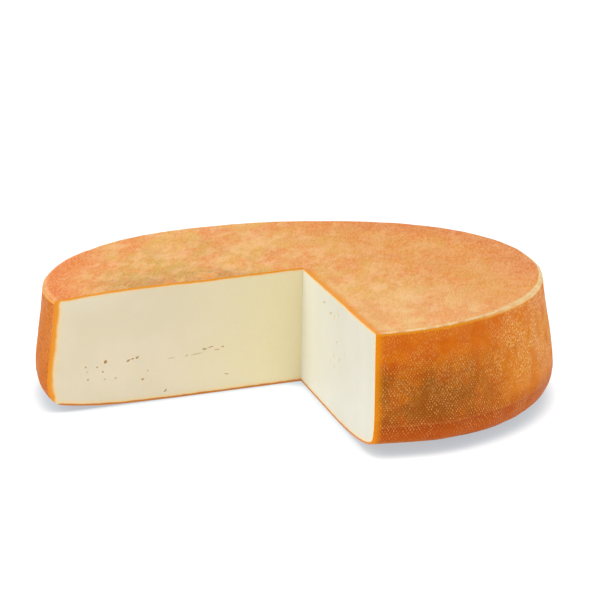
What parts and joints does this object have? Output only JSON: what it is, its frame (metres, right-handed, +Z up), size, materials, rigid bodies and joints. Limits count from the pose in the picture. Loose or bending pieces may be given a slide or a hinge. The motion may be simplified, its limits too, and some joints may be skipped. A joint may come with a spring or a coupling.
{
  "type": "cheese wheel",
  "caption": "Round semi-hard washed-rind cheese wheel with a wedge cut out, showing pale paste with small eyes inside an orange cloth-marked rind.",
  "frame": {"origin": "middle of the wheel's outline, on the table it rests on", "axes": "+Z up through the wheel's thickness; -X along the first cut face of the missing wedge, whose outward normal is -Y"},
  "size_m": [0.3178, 0.3178, 0.0763],
  "materials": {
    "cheese": "dry to slightly waxy orange rind printed by the cheese cloth, with smooth matte ivory paste where it is cut"
  },
  "bodies": {
    "root": {"cheese_wheel": "cheese"}
  },
  "joints": []
}
